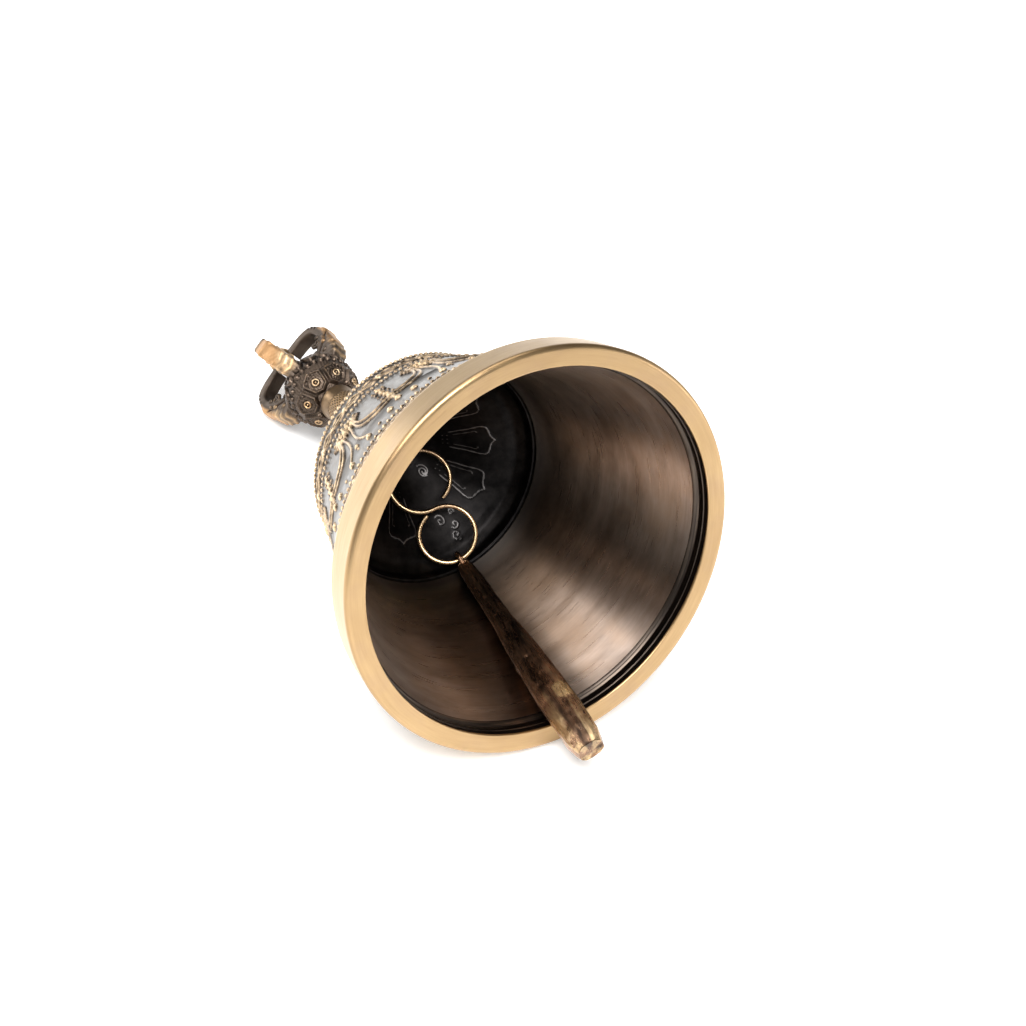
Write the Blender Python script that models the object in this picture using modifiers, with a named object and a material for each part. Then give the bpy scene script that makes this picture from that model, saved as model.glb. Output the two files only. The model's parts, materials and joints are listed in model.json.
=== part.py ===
"""A Tibetan hand bell (drilbu) lying at rest on its side.

The bell is modelled along its own axis: local Z runs from the mouth plane (0) to the tip of the handle, and local
Y points to the side that lies lowest. One empty, bell_frame, tips that axis over until the back edge of the lip
band and the two lower prongs of the handle all touch the ground plane z = 0.
All dimensions below are millimetres, and MM turns them into metres.
"""

from math import atan2, cos, pi, radians, sin, sqrt

import bmesh
import bpy
from mathutils import Matrix, Vector

MM = 0.001
GAP = 0.3  # clearance between neighbouring castings

# Bell cup, a turned shell
LIP_RADIUS = 38.4
LIP_FACE_OUTER = 37.8
MOUTH_RADIUS = 34.6
LIP_BAND_HEIGHT = 7.6
LIP_BAND_RADIUS = 37.3  # at the band's back edge, which the bell lies on
SHOULDER_RADIUS = 21.0
SHOULDER_HEIGHT = 47.0
CROWN_HEIGHT = 59.3
CROWN_INSIDE_HEIGHT = 56.2
TANG_BORE_RADIUS = 2.0
CUP_STEPS = 60

# Handle: neck, lotus hub and half-vajra cage
NECK_TOP = 79.9
TANG_SOCKET_TOP = 66.5
HUB_CENTRE = 87.0
HUB_RADIUS = 7.2
HUB_END_RADIUS = 4.3
PRONG_RADIUS = 10.3
PRONG_BELLY = 97.0
PRONG_SHOULDER = 102.6
PRONG_SHOULDER_RADIUS = 9.0
PRONG_HALF_WIDTH = 1.7
PRONG_COUNT = 4
CENTRE_PRONG_RADIUS = 2.0
TIP_HEIGHT = 107.5

# Eye inside the crown that carries the hook
EYE_HEIGHT = 51.7
EYE_RING_RADIUS = 2.2
EYE_WIRE_RADIUS = 0.7
TANG_RADIUS = 1.6

# S-hook of brass wire, and how it has rolled to rest
HOOK_WIRE_RADIUS = 0.45
HOOK_UPPER_RADIUS = 5.9
HOOK_LOWER_RADIUS = 5.4
HOOK_SEAT = 0.5  # how far off the eye's centre the wire hangs
HOOK_DIRECTION = Vector((4.3, 18.8, -12.0)).normalized()
HOOK_FACING = Vector((0.40, 0.41, 0.82))
UPPER_LOOP_OPENING = radians(27)
LOWER_LOOP_OPENING = radians(19)
LOOP_POINTS = 26

# Clapper, a rough cast bar with an eye at its thin end
CLAPPER_EYE_RADIUS = 1.4
CLAPPER_EYE_WIRE = 0.5
CLAPPER_SEAT = 0.25
CLAPPER_LIP_POINT = Vector((2.0, 30.4, 0.0))  # where its middle crosses the mouth plane
CLAPPER_SECTIONS = (  # distance from the eye's centre, width, thickness
    (1.2, 2.6, 2.0),
    (4.0, 3.4, 2.7),
    (12.0, 3.7, 3.3),
    (18.0, 4.0, 3.7),
    (23.0, 5.0, 4.3),
    (28.0, 5.6, 4.7),
    (37.0, 6.5, 5.5),
    (44.5, 6.6, 5.7),
    (50.0, 6.3, 5.4),
    (53.6, 5.0, 4.2),
)

ORIGIN_SHIFT = 40.6  # along world Y, puts the origin under the middle of the bounding box


def remove_everything():
    for found in list(bpy.data.objects):
        bpy.data.objects.remove(found, do_unlink=True)


def new_collection(name):
    made = bpy.data.collections.new(name)
    bpy.context.scene.collection.children.link(made)
    return made


def material(name, colour, roughness, metallic=1.0):
    made = bpy.data.materials.new(name)
    made.use_nodes = True
    shader = made.node_tree.nodes["Principled BSDF"]
    shader.inputs["Base Color"].default_value = (*colour, 1.0)
    shader.inputs["Roughness"].default_value = roughness
    shader.inputs["Metallic"].default_value = metallic
    return made


def mesh_object(name, mesh, finish, collection):
    made = bpy.data.objects.new(name, mesh)
    collection.objects.link(made)
    if finish is not None:
        mesh.materials.append(finish)
    return made


def turned(name, outline, steps, finish, collection, closed=False):
    """Turns an outline of (radius, height) points, listed down the outer side first, about local Z."""
    mesh = bpy.data.meshes.new(name)
    points = [(radius * MM, 0.0, height * MM) for radius, height in outline]
    edges = [(i, i + 1) for i in range(len(points) - 1)]
    if closed:
        edges.append((len(points) - 1, 0))
    mesh.from_pydata(points, edges, [])
    made = mesh_object(name, mesh, finish, collection)
    screw = made.modifiers.new("turn", "SCREW")
    screw.axis = "Z"
    screw.angle = 2 * pi
    screw.steps = steps
    screw.render_steps = steps
    screw.use_merge_vertices = True
    screw.merge_threshold = 0.00001
    screw.use_smooth_shade = True
    return made


def hang_on(frame, piece, location=(0.0, 0.0, 0.0), turn=0.0):
    piece.parent = frame
    piece.location = Vector(location) * MM
    piece.rotation_euler = (0.0, 0.0, turn)


def frame_matrix(origin, along_x, along_z):
    """A placement whose local Z is along_z and whose local X is as near along_x as it can be."""
    z = along_z.normalized()
    y = z.cross(along_x).normalized()
    x = y.cross(z)
    turn = Matrix((x, y, z)).transposed().to_4x4()
    return Matrix.Translation(origin * MM) @ turn


def arc(centre, radius, start, end, count):
    """Points (x, y) on a circle from angle start to angle end."""
    steps = [start + (end - start) * i / (count - 1) for i in range(count)]
    return [(centre[0] + radius * cos(a), centre[1] + radius * sin(a)) for a in steps]


def lying_tilt():
    """How far the axis dips towards the handle when lip band and two lower prongs touch the ground."""
    half_turn = pi / PRONG_COUNT
    lip_low = LIP_BAND_RADIUS * cos(pi / CUP_STEPS)
    slopes = []
    for radius, height in prong_outline():
        low = radius * cos(half_turn) + PRONG_HALF_WIDTH * sin(half_turn)
        slopes.append(atan2(lip_low - low, height - LIP_BAND_HEIGHT))
    return min(slopes)


def make_frame(collection):
    tilt = lying_tilt()
    mouth_height = LIP_BAND_HEIGHT * sin(tilt) + LIP_BAND_RADIUS * cos(pi / CUP_STEPS) * cos(tilt)
    frame = bpy.data.objects.new("bell_frame", None)
    collection.objects.link(frame)
    frame.location = Vector((0.0, -ORIGIN_SHIFT, mouth_height)) * MM
    frame.rotation_euler = (-(pi / 2 + tilt), 0.0, 0.0)
    return frame


def cup_outline():
    """One closed section of the bell's wall: crown, outside, lip, inside and back to the tang's bore."""
    dome = [(TANG_BORE_RADIUS, CROWN_HEIGHT), (6.4, 59.0), (9.0, 57.2), (12.2, 54.6), (15.6, 51.9), (18.6, 49.4)]
    shoulder = [(SHOULDER_RADIUS, SHOULDER_HEIGHT), (21.6, 44.6), (22.3, 41.8)]
    waist = [(23.4, 38.2), (25.0, 33.4), (27.0, 28.0), (29.0, 22.8), (31.0, 17.8), (32.8, 13.8), (34.6, 10.8)]
    band = [(35.6, 9.0), (36.4, 8.3), (37.0, 8.0), (LIP_BAND_RADIUS, LIP_BAND_HEIGHT), (37.9, 4.0), (LIP_RADIUS, 0.7)]
    lip = [(LIP_FACE_OUTER, 0.0), (MOUTH_RADIUS, 0.0), (MOUTH_RADIUS, 3.0), (34.0, 3.5)]
    inside = [(33.0, 6.0), (30.6, 12.0), (28.2, 18.5), (26.0, 24.8), (24.2, 30.6), (22.9, 35.8), (22.1, 39.2)]
    crown = [(21.3, 41.6), (19.7, 43.3), (18.0, 44.2), (15.0, 46.3), (11.0, 49.7), (7.0, 53.0), (4.0, 55.1)]
    bore = [(TANG_BORE_RADIUS, CROWN_INSIDE_HEIGHT)]
    return dome + shoulder + waist + band + lip + inside + crown + bore


def make_cup(frame, parts):
    bronze = material("bell_bronze", (0.30, 0.22, 0.15), 0.38)
    cup = turned("bell_cup", cup_outline(), CUP_STEPS, bronze, parts, closed=True)
    hang_on(frame, cup, turn=pi / CUP_STEPS)  # a flat of the lip band faces down


def make_neck(frame, parts):
    bottom = CROWN_HEIGHT + GAP
    outside = [(4.7, NECK_TOP), (4.9, 78.6), (4.0, 76.8), (3.8, 72.0), (4.2, 67.5), (5.4, 64.0), (6.4, 62.6)]
    foot = [(6.6, 61.0), (6.2, bottom), (TANG_BORE_RADIUS, bottom)]
    socket = [(TANG_BORE_RADIUS, TANG_SOCKET_TOP), (0.0, TANG_SOCKET_TOP)]
    golden = material("neck_bronze", (0.42, 0.30, 0.17), 0.45)
    neck = turned("handle_neck", [(0.0, NECK_TOP)] + outside + foot + socket, 24, golden, parts)
    hang_on(frame, neck)


def make_hub(frame, parts):
    """A ball with its two ends turned flat, one for the neck and one for the cage."""
    end_angle = atan2(HUB_END_RADIUS, sqrt(HUB_RADIUS**2 - HUB_END_RADIUS**2))
    ball = arc((0.0, HUB_CENTRE), HUB_RADIUS, pi / 2 - end_angle, end_angle - pi / 2, 9)
    half = HUB_RADIUS * cos(end_angle)
    outline = [(0.0, HUB_CENTRE + half)] + ball + [(0.0, HUB_CENTRE - half)]
    hub = turned("lotus_hub", outline, 24, material("hub_bronze", (0.16, 0.12, 0.09), 0.5), parts)
    hang_on(frame, hub)


def prong_outline():
    """Side view of one prong as (radius, height): foot on the hub, belly, shoulder and the arm to the middle."""
    outer = [(7.7, 88.9), (9.2, 90.6), (10.1, 93.6), (PRONG_RADIUS, PRONG_BELLY), (9.8, 100.0)]
    arm = [(PRONG_SHOULDER_RADIUS, PRONG_SHOULDER), (6.6, 103.5), (2.4, 104.1), (2.4, 101.8)]
    inner = [(5.6, 101.2), (7.0, 99.6), (7.3, 97.4), (6.4, 95.4), (5.1, 94.2), (5.5, 92.6)]
    return outer + arm + inner


def make_prongs(frame, parts):
    bronze = material("prong_bronze", (0.25, 0.17, 0.10), 0.45)
    names = ("prong_lower_right", "prong_lower_left", "prong_upper_left", "prong_upper_right")
    for number, name in enumerate(names):
        flat = bpy.data.curves.new(name, "CURVE")
        flat.dimensions = "2D"
        flat.fill_mode = "BOTH"
        flat.extrude = PRONG_HALF_WIDTH * MM
        outline = flat.splines.new("POLY")
        outline.points.add(len(prong_outline()) - 1)
        for point, (radius, height) in zip(outline.points, prong_outline()):
            point.co = (radius * MM, height * MM, 0.0, 1.0)
        outline.use_cyclic_u = True
        flat.materials.append(bronze)
        prong = bpy.data.objects.new(name, flat)
        parts.objects.link(prong)
        around = pi / 4 + number * 2 * pi / PRONG_COUNT
        prong.parent = frame
        prong.rotation_euler = (pi / 2, 0.0, around)


def make_centre_prong(frame, parts):
    foot = HUB_CENTRE + sqrt(HUB_RADIUS**2 - HUB_END_RADIUS**2) + GAP
    tip = [(0.0, TIP_HEIGHT), (1.7, TIP_HEIGHT), (2.5, 106.4), (2.8, 105.3), (CENTRE_PRONG_RADIUS, 104.5)]
    rod = [(CENTRE_PRONG_RADIUS, 98.0), (1.6, 96.0), (2.6, foot + 0.8), (2.8, foot), (0.0, foot)]
    bronze = material("tip_bronze", (0.45, 0.33, 0.18), 0.4)
    prong = turned("centre_prong", tip + rod, 16, bronze, parts)
    hang_on(frame, prong)


def make_crown_eye(frame, parts, cutters):
    """The ring that carries the hook, welded to the tang that runs through the crown into the neck."""
    iron = material("eye_iron", (0.10, 0.08, 0.07), 0.55)
    bpy.ops.mesh.primitive_torus_add(
        major_radius=EYE_RING_RADIUS * MM,
        minor_radius=EYE_WIRE_RADIUS * MM,
        major_segments=24,
        minor_segments=8,
    )
    ring = bpy.context.object
    ring.name = "crown_eye"
    ring.data.materials.append(iron)
    for owner in list(ring.users_collection):
        owner.objects.unlink(ring)
    parts.objects.link(ring)
    ring.parent = frame
    ring.location = Vector((0.0, 0.0, EYE_HEIGHT)) * MM
    ring.rotation_euler = (0.0, pi / 2, 0.0)

    tang_foot = EYE_HEIGHT + EYE_RING_RADIUS - 0.3
    tang_top = TANG_SOCKET_TOP - GAP
    outline = [(0.0, tang_top), (TANG_RADIUS, tang_top), (TANG_RADIUS, tang_foot + 1.0), (1.2, tang_foot)]
    tang = turned("crown_eye_tang", outline + [(0.0, tang_foot)], 16, iron, cutters)
    hang_on(frame, tang)
    hide_tool(tang)
    join(ring, tang)


def hide_tool(tool):
    tool.hide_render = True
    tool.display_type = "WIRE"


def join(piece, tool):
    union = piece.modifiers.new("join", "BOOLEAN")
    union.operation = "UNION"
    union.solver = "EXACT"
    union.object = tool


def hook_frame():
    """The hook's placement: local X runs from the crown eye to the clapper and local Z is square to both loops."""
    facing = HOOK_FACING - HOOK_DIRECTION * HOOK_FACING.dot(HOOK_DIRECTION)
    top = Vector((0.0, 0.0, EYE_HEIGHT)) + HOOK_DIRECTION * HOOK_SEAT
    return frame_matrix(top, HOOK_DIRECTION, facing)


def hook_outline():
    """An S of two loops that touch: the upper one passes the crown eye at (0, 0), the lower one the clapper's."""
    upper = (HOOK_UPPER_RADIUS, 0.0)
    lower = (2 * HOOK_UPPER_RADIUS + HOOK_LOWER_RADIUS, 0.0)
    first = arc(upper, HOOK_UPPER_RADIUS, 2 * pi - UPPER_LOOP_OPENING, 0.0, LOOP_POINTS)
    second = arc(lower, HOOK_LOWER_RADIUS, -pi, pi - LOWER_LOOP_OPENING, LOOP_POINTS)
    return first + second[1:]


def make_hook(frame, parts):
    wire = bpy.data.curves.new("s_hook", "CURVE")
    wire.dimensions = "3D"
    wire.bevel_depth = HOOK_WIRE_RADIUS * MM
    wire.bevel_resolution = 2
    wire.use_fill_caps = True
    run = wire.splines.new("POLY")
    outline = hook_outline()
    run.points.add(len(outline) - 1)
    for point, (x, y) in zip(run.points, outline):
        point.co = (x * MM, y * MM, 0.0, 1.0)
    wire.materials.append(material("hook_brass", (0.60, 0.44, 0.24), 0.3))
    hook = bpy.data.objects.new("s_hook", wire)
    parts.objects.link(hook)
    hook.parent = frame
    hook.matrix_local = hook_frame()


def clapper_frame():
    """The clapper's placement, its origin on the hook's wire: local Z runs down the bar, X through its eye."""
    hook = hook_frame()
    length = 2 * (HOOK_UPPER_RADIUS + HOOK_LOWER_RADIUS)
    pin = (hook @ Vector((length * MM, 0.0, 0.0))) / MM
    across = hook.to_3x3() @ Vector((0.0, 1.0, 0.0))
    return frame_matrix(pin, across, CLAPPER_LIP_POINT - pin)


def section_ring(mesh, distance, width, thickness):
    """Eight corners of a chamfered rectangle, square to the bar."""
    x, y = width / 2, thickness / 2
    cut = 0.58
    corners = [(x, y * cut), (x * cut, y), (-x * cut, y), (-x, y * cut)]
    corners += [(-x, -y * cut), (-x * cut, -y), (x * cut, -y), (x, -y * cut)]
    return [mesh.verts.new((a * MM, b * MM, (distance + CLAPPER_SEAT) * MM)) for a, b in corners]


def make_clapper(frame, parts, cutters):
    bronze = material("clapper_bronze", (0.22, 0.13, 0.08), 0.45)
    bar = bmesh.new()
    rings = [section_ring(bar, *section) for section in CLAPPER_SECTIONS]
    for near, far in zip(rings, rings[1:]):
        for i in range(8):
            j = (i + 1) % 8
            bar.faces.new((near[i], near[j], far[j], far[i]))
    bar.faces.new(list(reversed(rings[0])))
    bar.faces.new(rings[-1])
    mesh = bpy.data.meshes.new("clapper")
    bar.to_mesh(mesh)
    bar.free()
    clapper = mesh_object("clapper", mesh, bronze, parts)
    clapper.parent = frame
    clapper.matrix_local = clapper_frame()

    bpy.ops.mesh.primitive_torus_add(
        major_radius=CLAPPER_EYE_RADIUS * MM,
        minor_radius=CLAPPER_EYE_WIRE * MM,
        major_segments=24,
        minor_segments=8,
    )
    eye = bpy.context.object
    eye.name = "clapper_eye"
    for owner in list(eye.users_collection):
        owner.objects.unlink(eye)
    cutters.objects.link(eye)
    eye.parent = clapper
    eye.location = (0.0, 0.0, CLAPPER_SEAT * MM)
    eye.rotation_euler = (0.0, pi / 2, 0.0)
    hide_tool(eye)
    join(clapper, eye)


def main():
    remove_everything()
    parts = new_collection("tibetan_bell")
    cutters = new_collection("tools")
    frame = make_frame(parts)
    make_cup(frame, parts)
    make_neck(frame, parts)
    make_hub(frame, parts)
    make_prongs(frame, parts)
    make_centre_prong(frame, parts)
    make_crown_eye(frame, parts, cutters)
    make_hook(frame, parts)
    make_clapper(frame, parts, cutters)
    bpy.context.view_layer.update()


main()
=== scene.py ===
"""Looks of the Tibetan hand bell lying on its side: relief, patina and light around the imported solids.

Lengths in the tables are millimetres along the bell's own axis: z runs from the mouth plane (0) to the handle's tip,
r is the distance from the axis, and angles are measured from the side that lies lowest, positive towards +X.
"""

import json
from functools import reduce
from math import cos, pi, radians, sin, sqrt

import bpy
import numpy as np
from mathutils import Matrix, Vector


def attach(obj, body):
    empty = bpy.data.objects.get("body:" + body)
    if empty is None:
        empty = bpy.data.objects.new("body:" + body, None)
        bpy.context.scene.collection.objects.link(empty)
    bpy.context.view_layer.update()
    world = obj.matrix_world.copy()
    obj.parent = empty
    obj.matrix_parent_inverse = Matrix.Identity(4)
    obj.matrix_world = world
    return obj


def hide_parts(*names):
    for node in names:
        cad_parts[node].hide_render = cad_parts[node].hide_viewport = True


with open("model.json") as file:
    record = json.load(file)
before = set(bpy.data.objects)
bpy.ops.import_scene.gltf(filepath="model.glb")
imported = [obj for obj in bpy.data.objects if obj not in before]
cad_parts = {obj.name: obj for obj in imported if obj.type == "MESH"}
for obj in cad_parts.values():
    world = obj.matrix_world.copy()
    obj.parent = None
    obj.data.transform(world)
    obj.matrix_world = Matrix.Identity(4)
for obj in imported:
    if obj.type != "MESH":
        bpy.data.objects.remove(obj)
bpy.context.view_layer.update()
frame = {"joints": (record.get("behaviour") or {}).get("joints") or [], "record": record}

MM = 0.001
RIM_MIDDLE = 35.95  # distance of the rim mount's point from the axis
rng = np.random.default_rng(7)

# ---------------------------------------------------------------- placement

rim = frame["record"]["mounts"][0]
along = -Vector(rim["axis"]).normalized()
low = Vector((0.0, -sqrt(1 - along.y**2), -along.y))
mouth_centre = Vector(rim["pos_m"]) + low * RIM_MIDDLE * MM
BELL = Matrix.Translation(mouth_centre) @ Matrix((low.cross(along), low, along)).transposed().to_4x4()

joints = {joint["name"]: joint for joint in frame["joints"]}
hook_top = Vector(joints["hook_swing"]["pos_m"])
clapper_pin = Vector(joints["clapper_swing"]["pos_m"])
swing_axis = Vector(joints["hook_swing"]["axis"]).normalized()


def placement(origin, along_x, along_z):
    z = along_z.normalized()
    y = z.cross(along_x).normalized()
    return Matrix.Translation(origin) @ Matrix((y.cross(z), y, z)).transposed().to_4x4()


hook_run = (clapper_pin - hook_top).normalized()
HOOK = placement(hook_top, hook_run, hook_run.cross(swing_axis))
lip_crossing = BELL @ (Vector((2.0, 30.4, 0.0)) * MM)
CLAPPER = placement(clapper_pin, swing_axis, lip_crossing - clapper_pin)

# ---------------------------------------------------------------- mesh helpers


def add_object(name, data):
    made = bpy.data.objects.new(name, data)
    bpy.context.scene.collection.objects.link(made)
    return made


def new_piece(name, points, faces, nodes, finishes, worn=None, crevice=None, face_finish=None, place=BELL,
              body="bell"):
    """A mesh object from points in mm, riding on a body. worn and crevice are numbers per point for the finishes."""
    mesh = bpy.data.meshes.new(name)
    own = np.asarray(points, float).reshape(-1, 3) * MM
    turn_and_move = np.array(place)
    points = own @ turn_and_move[:3, :3].T + turn_and_move[:3, 3]
    faces = [np.asarray(group, np.int32) for group in faces if len(group)]
    mesh.vertices.add(len(points))
    mesh.vertices.foreach_set("co", points.ravel())
    sizes = np.concatenate([np.full(len(group), group.shape[1], np.int32) for group in faces])
    mesh.loops.add(int(sizes.sum()))
    mesh.loops.foreach_set("vertex_index", np.concatenate([group.ravel() for group in faces]))
    mesh.polygons.add(len(sizes))
    mesh.polygons.foreach_set("loop_start", np.concatenate([[0], np.cumsum(sizes)[:-1]]).astype(np.int32))
    mesh.polygons.foreach_set("use_smooth", np.full(len(sizes), True))
    for finish in finishes:
        mesh.materials.append(finish)
    if face_finish is not None:
        mesh.polygons.foreach_set("material_index", np.asarray(face_finish, np.int32))
    for mark, values in (("worn", worn), ("crevice", crevice)):
        if values is not None:
            attribute = mesh.attributes.new(mark, "FLOAT", "POINT")
            attribute.data.foreach_set("value", np.asarray(values, np.float32).ravel())
    around_axis = np.stack((own[:, 1], -own[:, 0], 0 * own[:, 0]), -1)
    around_axis /= np.maximum(np.linalg.norm(around_axis, axis=1), 1e-6)[:, None]
    for mark, values in (("own_place", own), ("round_axis", around_axis @ turn_and_move[:3, :3].T)):
        attribute = mesh.attributes.new(mark, "FLOAT_VECTOR", "POINT")
        attribute.data.foreach_set("vector", values.astype(np.float32).ravel())
    mesh.update(calc_edges=True)
    mesh.validate()
    made = add_object(name, mesh)
    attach(made, body)
    if nodes:
        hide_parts(*nodes)


def grid_faces(rows, columns, close_rows=False):
    """Quads of a grid of points closed round its columns, wound to look away from the axis as z rises."""
    r, c = np.meshgrid(np.arange(rows if close_rows else rows - 1), np.arange(columns), indexing="ij")
    up, right = (r + 1) % rows, (c + 1) % columns
    corners = (r * columns + c, up * columns + c, up * columns + right, r * columns + right)
    return np.stack(corners, -1).reshape(-1, 4)


def cap_fan(ring, middle, flip=False):
    ring = np.asarray(ring)
    other = np.roll(ring, -1)
    fan = (other, ring) if flip else (ring, other)
    return np.stack((*fan, np.full(len(ring), middle)), -1)


def capped_faces(rows, columns):
    """A tube's grid, with a fan at each end to the two points that follow the grid's own."""
    ring, count = np.arange(columns), rows * columns
    return [grid_faces(rows, columns)[:, ::-1], cap_fan(ring, count),
            cap_fan(ring + count - columns, count + 1, flip=True)]


def with_ends(values, ends=(0, 0)):
    """Numbers per grid point, then those of the two end points."""
    return np.append(np.ravel(values), ends)


def headings(path):
    """Unit vectors along a run of points."""
    steps = np.gradient(path, axis=0)
    return steps / np.linalg.norm(steps, axis=1)[:, None]


def smooth_curve(points, spacing):
    """A Catmull-Rom curve through the points, sampled at about that spacing."""
    points = np.asarray(points, float)
    padded = np.vstack((2 * points[0] - points[1], points, 2 * points[-1] - points[-2]))
    out = []
    for a, b, c, d in zip(padded, padded[1:], padded[2:], padded[3:]):
        count = max(2, int(np.linalg.norm(c - b) / spacing) + 1)
        t = np.linspace(0, 1, count, endpoint=False)[:, None]
        out.append(0.5 * (2 * b + (c - a) * t + (2 * a - 5 * b + 4 * c - d) * t**2 + (3 * b - a - 3 * c + d) * t**3))
    return np.vstack(out + [points[-1:]])


def rounded_run(points, radius, spacing):
    """A polyline whose inner corners are rounded, sampled at about that spacing."""
    points = np.asarray(points, float)
    out = [points[:1]]
    last = points[0]
    for a, b, c in zip(points, points[1:], points[2:]):
        into, away = b - a, c - b
        cut = min(radius, np.linalg.norm(into) / 2.2, np.linalg.norm(away) / 2.2)
        start = b - into / np.linalg.norm(into) * cut
        end = b + away / np.linalg.norm(away) * cut
        steps = max(1, int(np.linalg.norm(start - last) / spacing))
        out.append(last + (start - last) * np.linspace(0, 1, steps + 1)[1:, None])
        t = np.linspace(0, 1, 6)[1:, None]
        out.append((1 - t) ** 2 * start + 2 * t * (1 - t) * b + t**2 * end)
        last = end
    steps = max(1, int(np.linalg.norm(points[-1] - last) / spacing))
    out.append(last + (points[-1] - last) * np.linspace(0, 1, steps + 1)[1:, None])
    return np.vstack(out)


def turned_points(profile_r, profile_z, angles):
    """Grid of points for radii and heights (rows, or rows by angles) turned through the angles."""
    r = np.broadcast_to(profile_r if np.ndim(profile_r) == 2 else np.asarray(profile_r)[:, None],
                        (len(profile_r), len(angles)))
    z = np.broadcast_to(profile_z if np.ndim(profile_z) == 2 else np.asarray(profile_z)[:, None], r.shape)
    return np.stack((r * np.sin(angles), r * np.cos(angles), z), -1)


def around(count):
    return np.arange(count) * 2 * pi / count


# ---------------------------------------------------------------- relief helpers


def fold(angle, count, centre=0.0):
    """The angle within its sector, from the sector's middle."""
    width = 2 * pi / count
    return (angle - centre + width / 2) % width - width / 2


def bump(u, v, cu, cv, ru, rv, height):
    """A rounded boss."""
    d = ((u - cu) / ru) ** 2 + ((v - cv) / rv) ** 2
    return height * np.sqrt(np.clip(1 - d, 0, None))


def highest(*reliefs):
    """Reliefs laid over each other."""
    return reduce(np.maximum, reliefs)


def bosses(u, v, table):
    """Rounded bosses: (centre u, centre v, radius u, radius v, height) each."""
    return highest(*(bump(u, v, *boss) for boss in table))


def distance_to_run(u, v, run):
    best = np.full(np.shape(u), 1e9)
    for (au, av), (bu, bv) in zip(run, run[1:]):
        du, dv = bu - au, bv - av
        t = np.clip(((u - au) * du + (v - av) * dv) / max(du * du + dv * dv, 1e-12), 0, 1)
        best = np.minimum(best, (u - au - t * du) ** 2 + (v - av - t * dv) ** 2)
    return np.sqrt(best)


def cord(u, v, run, width, height):
    """A half-round cord laid along a run of points."""
    d = distance_to_run(u, v, run) / width
    return height * np.sqrt(np.clip(1 - d * d, 0, None))


def crevices(height, reach):
    """How deep each point lies below its surroundings, 0 to 1, on a grid that closes round the columns."""
    mean = height.copy()
    for _ in range(reach):
        mean = (mean + np.roll(mean, 1, 1) + np.roll(mean, -1, 1)) / 3
        mean = (mean + np.vstack((mean[:1], mean[:-1])) + np.vstack((mean[1:], mean[-1:]))) / 3
    return np.clip((mean - height) / 0.16, 0, 1)


def spiral(cu, cv, radius, turns, start, count=26):
    t = np.linspace(0, 1, count)
    a = start + turns * 2 * pi * t
    r = radius * (1 - 0.82 * t)
    return np.stack((cu + r * np.cos(a), cv + r * np.sin(a)), -1)


# ---------------------------------------------------------------- materials


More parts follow.
